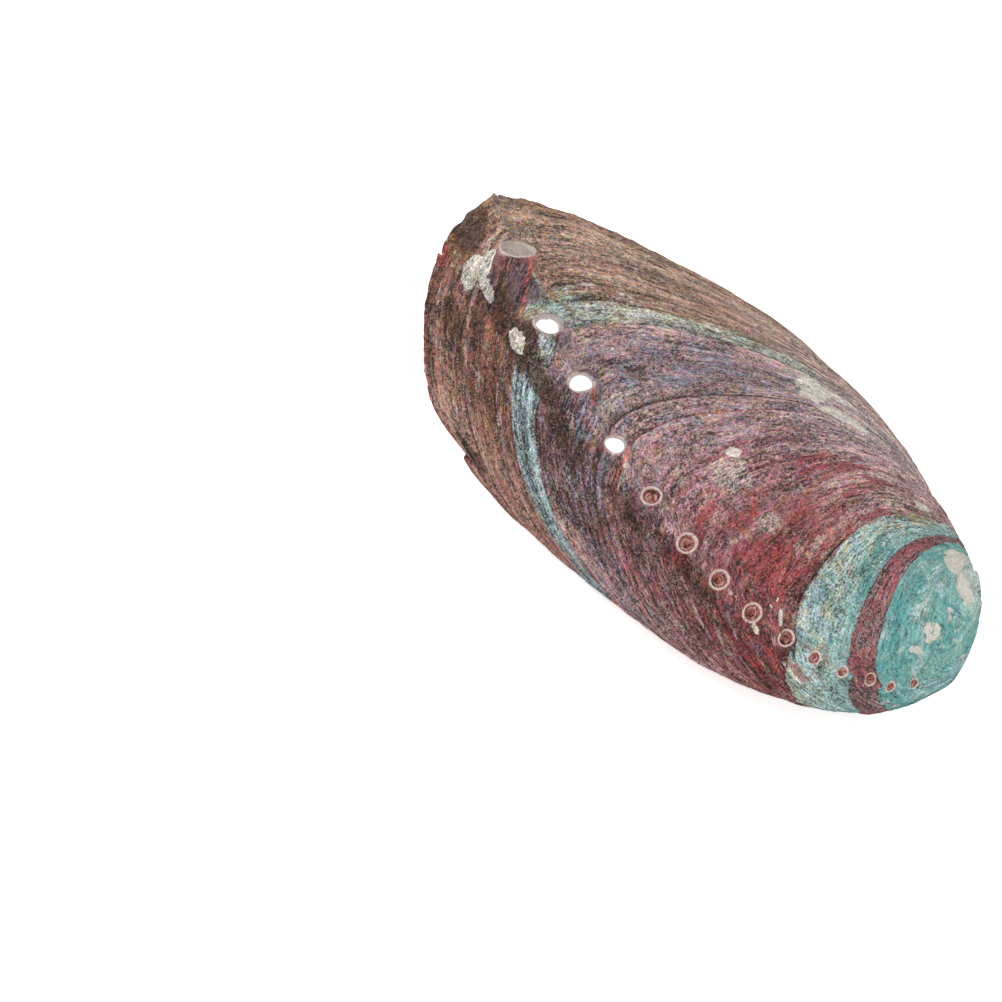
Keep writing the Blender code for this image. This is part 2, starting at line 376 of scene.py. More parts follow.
def raiseHoles(p, t, marks):
    # Raises a lip round each open hole, a short tube round the front one, and sinks the sealed ones
    moved = p.copy()
    for i in range(holes["open"] + holes["sealed"]):
        age, seat, a, b = holeFrame(i)
        near = np.linalg.norm(p - np.array(seat.translation), axis=-1) < holes["reach"]
        near &= np.abs(t - age) < holes["reachAge"]
        u, w, h = localOf(seat, p[near]).T
        angle = np.arctan2(w, u)
        uneven = 1.0 + 0.04 * np.sin(2.0 * angle + 2.1 * i) + 0.03 * np.sin(3.0 * angle + 1.3 * i)
        d = np.sqrt((u / a) ** 2 + (w / b) ** 2) / uneven
        stain = np.zeros(d.shape)
        if i == 0:
            rise = frontTube(u, w, h, d, a, b)
            # The ridge is plum coloured and wrinkled, with painted shading on its wrinkles and a red line
            # along its right side
            body = np.hypot((u + 2.6 * a) / (2.0 * a), w / (b * np.where(w < 0.0, 0.85, 1.25)))
            plum = 1.0 - smooth(0.6, 1.15, body)
            wrinkle = np.sin((u + 0.9 * w) / (0.2 * mm) + 1.5 * np.sin(w / (1.1 * mm))) * plum
            rise += 0.1 * mm * wrinkle * (d > 1.2)
            marks["plum"][near] = plum
            marks["paintedReliefShading"][near] += 0.7 * wrinkle
            offLine = (w + holes["lineOffset"] + holes["lineSlant"] * u) / holes["lineWidth"]
            stain = np.exp(-offLine ** 2) * smooth(-5.0 * a, -3.5 * a, u) * (u < -0.7 * a)
        elif i < holes["open"]:
            rise = openLip(u, h, d, a)
        else:
            rise = sealedPit(u, w, h, d, a, b)
        if 1 < i < holes["open"]:
            # A soft red patch lies behind the right side of the two last open holes
            behind = ((u + 1.5 * a) / (0.9 * a)) ** 2 + ((w + 0.8 * b + 0.1 * u) / (0.6 * b)) ** 2
            stain = 0.8 * np.exp(-behind)
        marks["stain"][near] = np.maximum(marks["stain"][near], stain)
        moved[near] += rise[:, None] * np.array(seat.col[2])[:3]
    return moved


# Soft elliptical patches: (angle in degrees, age, half size in degrees, half size in age, strength)
patches = {
    "white": (
        (-8, 0.42, 9, 0.05, 1.05), (-2, 0.46, 6, 0.13, 1.1), (-12, 0.58, 11, 0.06, 1.05),
        (33, 0.83, 4, 0.03, 1.0), (-42, 1.22, 6, 0.12, 0.9), (70, 1.385, 8, 0.018, 1.0),
        (113, 1.345, 9, 0.03, 0.9), (99.5, 0.094, 6.5, 0.028, 1.5), (93.5, 0.112, 5.5, 0.02, 1.5),
        (96.9, 0.145, 2.6, 0.036, 1.5), (96.3, 0.272, 3.6, 0.034, 1.3), (95, 1.24, 4, 0.03, 0.8),
        (120, 1.80, 8, 0.03, 0.8), (-8, 1.66, 3, 0.025, 0.8), (58, 0.235, 4, 0.01, 0.9),
        (-72, 2.4, 26, 0.65, 1.2), (-55, 3.3, 60, 0.55, 1.3), (24, 2.45, 15, 0.19, 0.78),
        (4, 2.7, 13, 0.14, 0.74), (42, 2.3, 8, 0.10, 0.7), (70, 1.33, 3, 0.015, 0.9),
        (62, 1.35, 4, 0.012, 0.8), (46, 0.255, 4, 0.008, 0.8), (82, 2.75, 7, 0.08, 0.7),
    ),
    "beige": (
        (38, 0.90, 11, 0.10, 1.0), (36, 1.13, 9, 0.06, 1.0), (60, 0.82, 5, 0.05, 0.8),
        (-20, 0.5, 16, 0.2, 0.8), (25, 1.35, 10, 0.04, 0.9), (-25, 1.3, 14, 0.08, 0.8),
        (70, 0.55, 10, 0.05, 0.7), (45, 0.2, 20, 0.03, 0.6), (135, 0.42, 14, 0.08, 0.5),
        (130, 0.8, 12, 0.12, 0.5),
    ),
    "red": (
        (0, 0.98, 24, 0.12, 0.70), (-10, 1.2, 14, 0.08, 0.75), (52, 1.27, 24, 0.17, 0.95),
        (62, 0.86, 14, 0.025, 0.9), (60, 0.955, 13, 0.025, 1.0), (45, 1.05, 16, 0.04, 0.95),
        (125, 1.15, 12, 0.10, 0.75), (118, 0.75, 9, 0.18, 0.5), (20, 0.83, 25, 0.05, 0.5),
        (152, 0.2, 9, 0.3, 0.5), (110, 1.38, 10, 0.05, 0.5), (20, 1.2, 16, 0.10, 0.6),
        # The last two red patches sit at the rim's chips: partly red shell and partly painted glow of light
        # through the broken edge
        (75, 1.1, 9, 0.12, 0.5), (153, 0.025, 3.5, 0.03, 1.2), (107, 0.012, 4, 0.015, 1.0),
    ),
    "grime": (
        (94, 0.03, 8, 0.05, 1.1), (97, 0.20, 7, 0.06, 0.8), (96, 0.30, 7, 0.08, 1.1),
        (97, 0.37, 6, 0.07, 1.0), (116, 0.09, 6, 0.05, 0.9), (108, 0.16, 6, 0.04, 0.6),
        (82, 0.02, 6, 0.02, 0.5), (103, 0.48, 7, 0.12, 0.65), (100, 0.70, 7, 0.14, 0.6),
        (99, 1.0, 7, 0.18, 0.55), (94.5, 0.34, 2.5, 0.04, 1.0), (112, 0.62, 8, 0.12, 0.5),
        (148, 0.085, 5, 0.035, 1.0),
    ),
}


def patchMask(t, s, spots):
    total = np.zeros(t.shape)
    for angle, age, halfAngle, halfAge, strength in spots:
        away = np.degrees(np.angle(np.exp(1j * (s - math.radians(angle)))))
        d = np.sqrt((away / halfAngle) ** 2 + ((t - age) / halfAge) ** 2)
        total = np.maximum(total, strength * (1.0 - smooth(0.35, 1.25, d)))
    return total


# How much sooner the old bands come round the side and back of the shell, where growth was slow:
# (angle in degrees, age)
bandBends = (
    (-75.0, 0.55), (-60.0, 0.22), (-50.0, 0.11), (-38.0, 0.04), (-22.0, 0.0), (84.0, 0.0), (100.0, 0.06),
    (120.0, 0.17), (140.0, 0.27), (160.0, 0.45), (185.0, 0.80), (205.0, 1.15), (222.0, 1.75), (250.0, 1.95),
    (285.0, 0.55),
)


def bandAgeAt(t, s):
    # The age that the colour bands go by
    turns, bends = zip(*bandBends)
    fromStart = np.degrees(np.mod(s - math.radians(turns[0]), 2.0 * math.pi)) + turns[0]
    bend = np.interp(fromStart, turns, bends)
    angle = np.degrees(np.mod(s, 2.0 * math.pi))
    far = smooth(150.0, 215.0, angle) * smooth(-300.0, -285.0, -angle) * smooth(0.0, 0.06, t)
    # The turquoise band dips back where it crosses the row and stays further back on the wall
    lag = 0.030 * smooth(78.0, 95.0, angle) + 0.012 * smooth(120.0, 145.0, angle)
    lag = lag * (1.0 - smooth(190.0, 215.0, angle))
    lag = lag * smooth(0.16, 0.28, t) * (1.0 - smooth(0.46, 0.60, t))
    return t + bend * np.maximum(smooth(0.45, 1.25, t), far) - lag


# Places where the rim stands out or in of its smooth line: (angle in degrees, half width in degrees, mm)
rimSwells = (
    (84.0, 8.0, 0.5), (74.0, 10.0, 1.2), (103.0, 7.0, 0.4), (141.0, 8.0, 1.2), (160.0, 6.0, 0.5),
    (172.0, 9.0, -0.9), (40.0, 11.0, -0.6), (9.0, 6.0, 0.4), (-6.0, 6.0, -0.9), (76.0, 6.0, 0.7),
    (91.0, 3.0, 0.4), (29.0, 6.0, -0.3), (147.0, 4.0, 0.4), (155.0, 4.0, -0.3), (55.0, 9.0, 0.1),
    (80.5, 2.2, 0.4), (85.0, 1.8, -0.4), (62.0, 4.0, -0.2),
)
rimSwellAge = 0.07
# The chip in the rim: it deepens from one angle to the next and steps back at the last
chip = {"angles": (150.5, 155.3, 156.6), "depth": 2.1 * mm, "fadeAge": 0.035}
# Places off the rim where growth left the smooth skin: (point in mm, radius in mm, shift in mm)
skinSwells = (
    ((3.5, -59.0, 28.5), 7.0, (-2.1, 0.9, -0.8)), ((5.5, -66.0, 21.0), 8.0, (-0.8, 0.8, -0.3)),
    ((-5.0, -70.0, 11.5), 6.0, (0.2, -0.45, 0.1)), ((15.0, -49.0, 22.5), 10.0, (1.1, -0.4, 1.0)),
    ((9.0, -55.0, 26.5), 5.0, (0.3, -0.1, 0.2)), ((-53.5, -7.5, 2.0), 12.0, (0.8, 0.2, 0.0)),
    ((20.0, -44.0, 19.0), 7.0, (0.3, -0.15, 0.3)), ((1.0, -59.0, 28.5), 3.5, (-0.6, 0.4, -0.2)),
    ((0.0, -68.5, 16.0), 6.0, (0.4, -0.65, 0.0)), ((-11.0, -68.5, 7.0), 5.0, (-0.1, 0.3, 0.0)),
    ((8.3, -60.3, 25.6), 3.5, (-0.5, 0.3, -0.2)),
)


def rimWear(s):
    # Worn rim: the first row starts at this age instead of 0
    circle = np.stack([np.cos(s), np.sin(s), np.zeros(s.shape)], -1)
    ragged = 0.004 * (1.0 + softNoise(circle * 22.0, 41))
    ragged = ragged + 0.003 * np.maximum(softNoise(circle * 60.0, 42), 0.0)
    smallChip = 0.008 * np.exp(-((s - math.radians(107.0)) / math.radians(0.6)) ** 2)
    notch = holes["notchDip"] * np.exp(-((s - growth["rowAngle"] - 0.03) / 0.07) ** 2)
    return ragged + smallChip + notch


def wornAge(age, s):
    return age + rimWear(np.mod(s, 2.0 * math.pi)) * np.exp(-age / wall["wearFade"])


def swollen(t, s, p):
    outwards = p * (1.0, 1.0, 0.0)
    outwards = outwards / np.linalg.norm(outwards, axis=-1, keepdims=True)
    for angle, halfWidth, amount in rimSwells:
        away = np.degrees(np.angle(np.exp(1j * (s - math.radians(angle)))))
        p = p + outwards * (amount * mm * np.exp(-(away / halfWidth) ** 2 - t / rimSwellAge))[..., None]
    first, deepest, last = chip["angles"]
    angle = np.degrees(np.mod(s, 2.0 * math.pi))
    bite = smooth(first, deepest, angle) * (1.0 - smooth(deepest, last, angle)) * np.exp(-t / chip["fadeAge"])
    p = p - outwards * (chip["depth"] * bite)[..., None]
    for point, radius, shift in skinSwells:
        gap = np.linalg.norm(p / mm - np.array(point), axis=-1, keepdims=True) / radius
        p = p + np.array(shift) * mm * np.exp(-gap ** 2)
    return p


def columnAngles(age):
    # Round the rim, the columns of points stand closer together near the row of holes
    even = np.linspace(0.0, 2.0 * math.pi, surface["columns"], endpoint=False)
    v = even - surface["twist"] * age
    return v - surface["crowding"] * np.sin(v - growth["rowAngle"])


def keptUp(p):
    # The shell stands on the floor, and no point of it goes through
    p[..., 2] = np.maximum(p[..., 2], surface["lowest"])
    return p


# What each point of the mesh carries for the materials
gaugeNames = ("bandAge", "white", "beige", "red", "grime", "side", "stain", "plum", "paintedReliefShading")


def outerSkin():
    # Rows of points from the rim to the tip, their places in growth space, and their gauges
    lengths = np.arange(0.0, pathAt(growth["tipAge"]), surface["rowSpacing"] / mm)
    ages = np.interp(lengths, pathTable, ageTable)
    ages[-1] = growth["tipAge"]
    rowAge = np.repeat(ages[:, None], surface["columns"], axis=1)
    s = columnAngles(rowAge)
    t = wornAge(rowAge, s)
    p = skinAt(t, s)
    gauges = {name: patchMask(t, s, spots) for name, spots in patches.items()}
    gauges["bandAge"] = bandAgeAt(t, s)
    gauges["side"] = np.degrees(np.mod(s + 1.5, 2.0 * math.pi) - 1.5) / 180.0
    gauges["stain"] = np.zeros(t.shape)
    gauges["plum"] = np.zeros(t.shape)
    rise, gauges["paintedReliefShading"] = relief(t, s, p)
    p = swollen(t, s, p + outwardAt(t, s) * rise[..., None])
    return keptUp(raiseHoles(p, t, gauges)), growthSpace(t, s), gauges


def innerSkin():
    # Rows of the lining from the rim inwards, then rings that close it, and the middle of the last ones
    ages = np.linspace(0.0, 1.0, surface["innerRows"]) ** 1.15 * wall["innerEndAge"]
    lines = []
    places = []
    for age in ages:
        s = columnAngles(age)
        t = wornAge(np.full(s.shape, age), s)
        lines.append(keptUp(swollen(t, s, liningAt(t, s))))
        places.append(growthSpace(t, s))
    lastLine = lines[-1]
    middle = lastLine.mean(axis=0)
    for share in (0.8, 0.6, 0.4, 0.2):
        lines.append(middle + (lastLine - middle) * share)
        places.append(places[-1])
        ages = np.append(ages, wall["innerEndAge"])
    return np.array(lines), np.array(places), ages, middle


def addGauge(mesh, name, values):
    attribute = mesh.attributes.new(name, "FLOAT", "POINT")
    attribute.data.foreach_set("value", values.astype(np.float32))


def addPlaces(mesh, places):
    attribute = mesh.attributes.new("growthSpace", "FLOAT_VECTOR", "POINT")
    attribute.data.foreach_set("vector", places.astype(np.float32).ravel())


def buildMesh():
    # Outer skin and lining as one closed mesh, joined along the rim
    outer, outerPlaces, gauges = outerSkin()
    inner, innerPlaces, innerAges, middle = innerSkin()
    columns = surface["columns"]
    rows = len(outer)
    tip = rows * columns
    index = np.arange(tip).reshape(rows, columns)
    after = np.roll(index, -1, axis=1)
    innerIndex = tip + 1 + np.arange(len(inner) * columns).reshape(-1, columns)
    innerAfter = np.roll(innerIndex, -1, axis=1)
    innerTip = tip + 1 + len(inner) * columns
    quads = np.concatenate([
        np.stack([index[:-1], after[:-1], after[1:], index[1:]], -1).reshape(-1, 4),
        np.stack([after[0], index[0], innerIndex[0], innerAfter[0]], -1),
        np.stack([innerAfter[:-1], innerIndex[:-1], innerIndex[1:], innerAfter[1:]], -1).reshape(-1, 4),
    ])
    triangles = np.concatenate([
        np.stack([index[-1], after[-1], np.full(columns, tip)], -1),
        np.stack([innerAfter[-1], innerIndex[-1], np.full(columns, innerTip)], -1),
    ])
    verts = [outer.reshape(-1, 3), outer[-1].mean(axis=0)[None], inner.reshape(-1, 3), middle[None]]
    places = [outerPlaces, outerPlaces[-1:, :1], innerPlaces, innerPlaces[-1:, :1]]

    mesh = bpy.data.meshes.new("shellCrust")
    faces = quads.tolist() + triangles.tolist()
    mesh.from_pydata(np.concatenate(verts).tolist(), [], faces)
    for name in gaugeNames:
        onLining = np.repeat(innerAges, columns) if name == "bandAge" else np.zeros(innerIndex.size)
        atTip = [gauges[name][-1].mean()]
        addGauge(mesh, name, np.concatenate([gauges[name].ravel(), atTip, onLining, [0.0]]))
    addPlaces(mesh, np.concatenate([part.reshape(-1, 3) for part in places]))
    # Crust outside and nacre inside
    material = np.ones(len(faces), np.int32)
    material[:(rows - 1) * columns] = 0
    material[len(quads):len(quads) + columns] = 0
    mesh.polygons.foreach_set("material_index", material)
    print("shell mesh", len(faces), "faces")
    return mesh


def applied(shell, label):
    graph = bpy.context.evaluated_depsgraph_get()
    done = bpy.data.meshes.new_from_object(shell.evaluated_get(graph))
    shell.modifiers.clear()
    shell.data = done
    print(label, len(done.polygons), "faces")


def boreTool(name, seat, profile, along, across, lean, age, phase):
    # A cutter turned to the profile's radii, a little out of round, that leans as it goes down
    sides = holes["boreSides"]
    verts = []
    steps = len(profile)
    for height, share in reversed(profile):
        drop = max(holes["lipRise"] - height * mm, 0.0)
        for a in np.linspace(0.0, 2.0 * math.pi, sides, endpoint=False):
            r = share * (1.0 + 0.05 * math.sin(2.0 * a + phase) + 0.04 * math.sin(3.0 * a + 2.0 * phase))
            u = along * r * math.cos(a) + lean[0] * drop
            w = across * r * math.sin(a) + lean[1] * drop
            verts.append(seat @ Vector((u, w, height * mm)))
    faces = [tuple(reversed(range(sides))), tuple(range((steps - 1) * sides, steps * sides))]
    for k in range(steps - 1):
        for i in range(sides):
            j = (i + 1) % sides
            faces.append((k * sides + i, k * sides + j, (k + 1) * sides + j, (k + 1) * sides + i))
    mesh = bpy.data.meshes.new(name)
    mesh.from_pydata(verts, [], faces)
    for gaugeName in gaugeNames:
        value = {"bandAge": age, "side": growth["rowAngle"] / math.pi}.get(gaugeName, 0.0)
        addGauge(mesh, gaugeName, np.full(len(verts), value))
    place = growthSpace(np.array([age]), np.array([growth["rowAngle"]]))
    addPlaces(mesh, np.repeat(place, len(verts), axis=0))
    return bpy.data.objects.new(name, mesh)


def cutHoles(shell):
    tools = []
    for i in range(holes["open"]):
        age, seat, along, across = holeFrame(i)
        profile = holes["frontBore"] if i < 2 else holes["bore"]
        lean = holes["boreLeans"][i]
        tools.append(boreTool("bore%d" % (i + 1), seat, profile, along, across, lean, age, 2.1 * i))
    wallSlot = 2
    for tool in tools:
        bpy.context.scene.collection.objects.link(tool)
        for spare in range(wallSlot):
            tool.data.materials.append(None)
        slots = np.full(len(tool.data.polygons), wallSlot, np.int32)
        tool.data.polygons.foreach_set("material_index", slots)
        cut = shell.modifiers.new(tool.name, "BOOLEAN")
        cut.operation = "DIFFERENCE"
        cut.solver = "MANIFOLD"
        cut.object = tool
    applied(shell, "holes cut")
    for tool in tools:
        bpy.data.objects.remove(tool)


def addNode(tree, kind, inputs=None, **settings):
    node = tree.nodes.new(kind)
    for name, value in settings.items():
        setattr(node, name, value)
    for name, value in (inputs or {}).items():
        if isinstance(value, bpy.types.NodeSocket):
            tree.links.new(value, node.inputs[name])
        else:
            node.inputs[name].default_value = value
    return node


def treeOf(*values):
    # The node tree that the first linked value belongs to
    for value in values:
        if isinstance(value, bpy.types.NodeSocket):
            return value.id_data


def calc(operation, *values):
    return addNode(treeOf(*values), "ShaderNodeMath", dict(enumerate(values)), operation=operation).outputs[0]


def times(a, b):
    return calc("MULTIPLY", a, b)


def plus(a, b):
    return calc("ADD", a, b)


def minus(a, b):
    return calc("SUBTRACT", a, b)


def swing(value, amount):
    # From a 0 to 1 pattern to one that swings evenly about nothing
    return times(minus(value, 0.5), amount)


def scaled(vector, factors, shift=(0.0, 0.0, 0.0)):
    inputs = {0: vector, 1: factors, 2: shift}
    return addNode(treeOf(vector), "ShaderNodeVectorMath", inputs, operation="MULTIPLY_ADD").outputs[0]


def noise(vector, scale=1.0, detail=2.0, rough=0.55, twist=0.0):
    inputs = {"Vector": vector, "Scale": scale, "Detail": detail, "Roughness": rough, "Distortion": twist}
    return addNode(treeOf(vector), "ShaderNodeTexNoise", inputs).outputs[0]


def between(value, low, high):
    inputs = {"Value": value, "From Min": low, "From Max": high, "To Min": 0.0, "To Max": 1.0}
    return addNode(treeOf(value), "ShaderNodeMapRange", inputs, interpolation_type="SMOOTHSTEP").outputs[0]


def crisp(value, low=0.42, high=0.58):
    return between(value, low, high)


def mixed(amount, first, second, mode="MIX"):
    inputs = {0: amount, 6: first, 7: second}
    tree = treeOf(amount, first, second)
    return addNode(tree, "ShaderNodeMix", inputs, data_type="RGBA", blend_type=mode).outputs[2]


def paint(red, green, blue):
    # A colour as a paint chart gives it, 0 to 255, as the linear values that Blender wants
    shares = [c / 255.0 for c in (red, green, blue)]
    linear = [((c + 0.055) / 1.055) ** 2.4 if c > 0.0404 else c / 12.92 for c in shares]
    return (*linear, 1.0)


def ramp(value, stops):
    node = addNode(treeOf(value), "ShaderNodeValToRGB", {0: value})
    elements = node.color_ramp.elements
    while len(elements) < len(stops):
        elements.new(0.5)
    for element, (place, colour) in zip(elements, stops):
        element.position = place
    for element, (place, colour) in zip(elements, stops):
        element.color = colour
    return node.outputs[0]


def gauge(tree, name):
    return addNode(tree, "ShaderNodeAttribute", attribute_name=name).outputs["Fac"]


def growthPlace(tree):
    return addNode(tree, "ShaderNodeAttribute", attribute_name="growthSpace").outputs["Vector"]


def bodyPlace(tree):
    # Where a point lies in the shell's own space, in mm
    return scaled(addNode(tree, "ShaderNodeTexCoord").outputs["Object"], (1000.0, 1000.0, 1000.0))


def newMaterial(name):
    mat = bpy.data.materials.new(name)
    mat.use_nodes = True
    return mat, mat.node_tree, mat.node_tree.nodes["Principled BSDF"]


# Colours by age: of the later crust without its turquoise band, and of the turquoise young shell
youngBands = (
    (0.00, (138, 100, 80)), (0.03, (168, 136, 116)), (0.08, (180, 152, 136)), (0.13, (168, 138, 124)),
    (0.19, (166, 132, 116)), (0.24, (160, 128, 112)), (0.29, (166, 142, 126)), (0.344, (164, 146, 140)),
    (0.349, (112, 96, 104)), (0.357, (182, 148, 142)), (0.40, (166, 138, 140)), (0.47, (146, 120, 125)),
    (0.55, (156, 132, 135)), (0.595, (162, 136, 134)), (0.606, (178, 144, 142)), (0.66, (182, 146, 145)),
    (0.77, (174, 136, 138)), (0.89, (176, 134, 138)), (0.98, (164, 120, 124)), (1.07, (152, 106, 110)),
    (1.19, (148, 92, 95)), (1.31, (148, 90, 92)), (1.39, (142, 94, 92)), (1.50, (128, 90, 80)),
)
tealBands = (
    (1.40, (172, 182, 172)), (1.50, (168, 184, 176)), (1.58, (162, 182, 174)), (1.65, (152, 178, 174)),
    (1.74, (136, 166, 163)), (1.90, (124, 158, 154)), (2.05, (112, 162, 158)), (2.30, (118, 170, 164)),
    (2.70, (128, 174, 168)), (3.20, (146, 186, 180)), (3.60, (190, 204, 198)),
)
crustLook = {
    "youngEnd": 1.5,
    "band": (0.262, 0.346),
    "bandSpread": 0.03,
    "bandColour": (172, 176, 166),
    "rowTeal": (138, 166, 164),
    "wallTeal": (144, 164, 170),
    "tealFrom": 1.452,
    "maroon": (1.785, 1.980),
    "maroonColour": (152, 118, 118),
    "crimson": (124, 48, 54),
    "paintedGutterShade": (92, 62, 58),
    "behindRow": (178, 151, 150),
    "pinkWall": (184, 136, 134),
    "paleMauve": (216, 194, 194),
    "ochre": (150, 102, 62),
    "lilac": (156, 132, 146),
    "blueGrey": (124, 130, 146),
    "olive": (136, 114, 72),
    "beige": (186, 172, 160),
    "plum": (84, 62, 74),
    "rust": (142, 58, 52),
    "red": (142, 50, 52),
    "stain": (196, 92, 88),
    "grime": (74, 50, 36),
    "white": (214, 208, 196),
    "lip": (232, 214, 206),
    "paleTeal": (196, 206, 214),
    "deepTeal": (70, 146, 146),
    "skyTeal": (150, 184, 196),
    "straw": (204, 188, 142),
    "cream": (196, 208, 190),
    "bumpDepth": 0.35 * mm,
    # Thin lines where growth stopped for a while: (colour, age, half width in age, strength)
    "lines": (("grime", 0.597, 0.0055, 0.90), ("stain", 0.664, 0.0040, 0.85)),
    "pitFloor": (
        (0.36, (52, 36, 32)), (0.45, (96, 52, 46)), (0.50, (196, 110, 92)), (0.54, (150, 66, 58)),
        (0.58, (214, 176, 164)), (0.66, (112, 96, 88)),
    ),
}


def coat(colour, amount, strength, name):
    return mixed(times(amount, strength), colour, paint(*crustLook[name]))


def grownNoise(skin, factors, shift=(0.0, 0.0, 0.0), **settings):
    return noise(scaled(skin.place, factors, shift), **settings)


def crustPatterns(tree):
    # Gauges and patterns that the crust's colours share
    skin = SimpleNamespace(tree=tree, place=growthPlace(tree), body=bodyPlace(tree))
    skin.side = gauge(tree, "side")
    skin.bandAge = gauge(tree, "bandAge")
    # Grit of two sizes, short dashes along the rim lines, and longer lines that come and go
    skin.grit = noise(skin.body, 2.5, 2.0, 0.6)
    skin.grain = noise(scaled(skin.body, (1.0, 1.0, 1.0), (4.0, 8.0, 1.0)), 0.95, 3.0, 0.7)
    skin.blots = noise(skin.body, 0.42, 4.0, 0.7)
    skin.dashes = grownNoise(skin, (1.5, 0.75, 0.75), (3.0, 6.0, 2.0), detail=3.0, rough=0.7)
    skin.lineFine = grownNoise(skin, (1.25, 0.13, 0.13), (9.0, 3.0, 1.0), detail=4.0, rough=0.7, twist=0.25)
    skin.lineWide = grownNoise(skin, (0.45, 0.07, 0.07), detail=5.0, rough=0.7, twist=0.4)
    skin.lined = crisp(grownNoise(skin, (0.09, 0.07, 0.07), (5.0, 2.0, 8.0), detail=3.0), 0.40, 0.60)
    skin.clouds = grownNoise(skin, (0.13, 0.06, 0.06), detail=4.0, rough=0.65)
    # Colour bands go by an age with ragged edges
    ragged = plus(swing(skin.lineFine, 0.016), swing(skin.blots, 0.030))
    skin.age = plus(skin.bandAge, ragged)
    skin.behind = times(between(skin.side, 0.472, 0.52), between(skin.side, 0.82, 0.70))
    return skin


def patched(skin, colour, patchTable, rough, twist):
    # Coats each patch of a table: (colour, scale, shift, low and high edge, strength, where)
    for name, factors, shift, low, high, strength, where in patchTable:
        patch = crisp(grownNoise(skin, factors, shift, detail=6.0, rough=rough, twist=twist), low, high)
        colour = coat(colour, patch if where is None else times(patch, where), strength, name)
    return colour


def youngTurquoise(skin):
    # Mottled turquoise of the young shell: pale flakes, deeper spots, olive and straw film near its edge
    first = tealBands[0][0]
    span = growth["tipAge"] - first
    stops = [((age - first) / span, paint(*colour)) for age, colour in tealBands]
    teal = ramp(calc("DIVIDE", minus(skin.age, first), span), stops)
    nearEdge = between(skin.age, 1.74, 1.50)
    isClear = between(skin.age, 1.95, 2.10)
    return patched(skin, teal, (
        ("paleTeal", (0.16, 0.06, 0.06), (1.0, 4.0, 4.0), 0.55, 0.58, 0.50, None),
        ("deepTeal", (0.11, 0.08, 0.08), (6.0, 1.0, 8.0), 0.52, 0.56, 0.60, None),
        ("cream", (0.26, 0.10, 0.10), (9.0, 2.0, 5.0), 0.56, 0.60, 0.50, isClear),
        ("skyTeal", (0.15, 0.11, 0.11), (3.0, 9.0, 2.0), 0.54, 0.57, 0.75, nearEdge),
        ("olive", (0.14, 0.09, 0.09), (2.0, 8.0, 4.0), 0.54, 0.57, 0.75, nearEdge),
        ("straw", (0.24, 0.15, 0.15), (7.0, 5.0, 1.0), 0.57, 0.60, 0.80, nearEdge),
        ("white", (0.30, 0.20, 0.20), (5.0, 7.0, 3.0), 0.60, 0.62, 0.80, nearEdge),
    ), 0.66, 0.8)


def laterCrust(skin):
    # Brown, mauve and red crust of the later growth, in patches drawn out along its lines
    age, side = skin.age, skin.side
    youngEnd = crustLook["youngEnd"]
    stops = [(bandAge / youngEnd, paint(*colour)) for bandAge, colour in youngBands]
    late = ramp(calc("DIVIDE", age, youngEnd), stops)
    late = mixed(skin.behind, late, paint(*crustLook["behindRow"]), "MULTIPLY")
    late = coat(late, between(side, 0.68, 0.86), 0.5, "pinkWall")
    late = coat(late, between(side, 0.12, -0.06), 0.42, "paleMauve")
    # Painted shade in the hollow behind the row of holes
    gutterHollowAndShade = times(between(side, 0.475, 0.515), between(side, 0.66, 0.56))
    gutterHollowAndShade = times(gutterHollowAndShade, times(between(age, 0.36, 0.46), between(age, 1.40, 1.20)))
    late = coat(late, gutterHollowAndShade, 0.38, "paintedGutterShade")
    isBrown = between(age, 0.40, 0.24)
    isGrey = times(between(age, 0.33, 0.38), between(age, 0.95, 0.60))
    isRed = plus(times(between(age, 0.85, 1.15), 0.6), 0.30)
    return patched(skin, late, (
        ("olive", (0.40, 0.20, 0.20), (2.0, 8.0, 4.0), 0.54, 0.60, 0.60, None),
        ("beige", (0.34, 0.17, 0.17), (8.0, 2.0, 6.0), 0.55, 0.61, 0.50, None),
        ("plum", (0.38, 0.14, 0.14), (1.0, 6.0, 3.0), 0.54, 0.61, 0.50, None),
        ("blueGrey", (0.30, 0.13, 0.13), (6.0, 4.0, 9.0), 0.51, 0.57, 0.65, isGrey),
        ("lilac", (1.10, 0.14, 0.14), (3.0, 5.0, 5.0), 0.54, 0.62, 0.40, skin.lined),
        ("lilac", (0.50, 0.06, 0.06), (7.0, 9.0, 1.0), 0.52, 0.60, 0.40, skin.behind),
        ("ochre", (0.70, 0.22, 0.22), (5.0, 1.0, 2.0), 0.53, 0.59, 0.65, isBrown),
        ("crimson", (0.26, 0.07, 0.07), (1.0, 3.0, 6.0), 0.53, 0.58, 0.70, between(age, 0.60, 0.95)),
        ("rust", (0.60, 0.20, 0.20), (4.0, 2.0, 9.0), 0.53, 0.60, 0.85, isRed),
    ), 0.74, 0.3)


